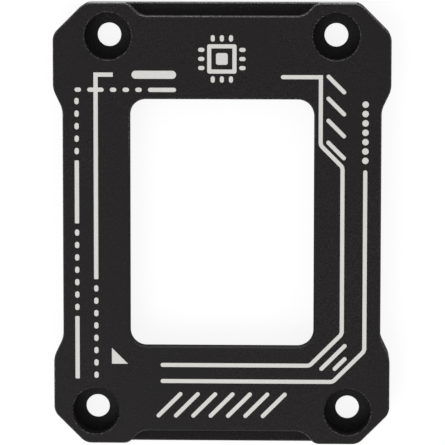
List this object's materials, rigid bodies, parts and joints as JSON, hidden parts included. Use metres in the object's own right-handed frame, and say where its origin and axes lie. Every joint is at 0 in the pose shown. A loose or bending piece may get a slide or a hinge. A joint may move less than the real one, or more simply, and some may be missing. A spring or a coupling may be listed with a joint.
{
  "type": "cpu socket retention frame",
  "caption": "Flat milled metal frame that clamps a processor into its socket, with corner lugs, counterbored screw holes, a window, end ledges and engraved line marks.",
  "frame": {"origin": "centre of the frame's underside, in the plane that rests on the circuit board", "axes": "+Z out of the marked face, +Y along the frame towards the end with the chip symbol, +X across it to the right"},
  "size_m": [0.054, 0.071, 0.006],
  "materials": {
    "anodised_black": "black anodised over fine bead blasting, matt",
    "engraved_mark": "bare metal laid open by laser engraving, satin"
  },
  "bodies": {
    "root": {"retention_frame": "anodised_black"}
  },
  "joints": []
}
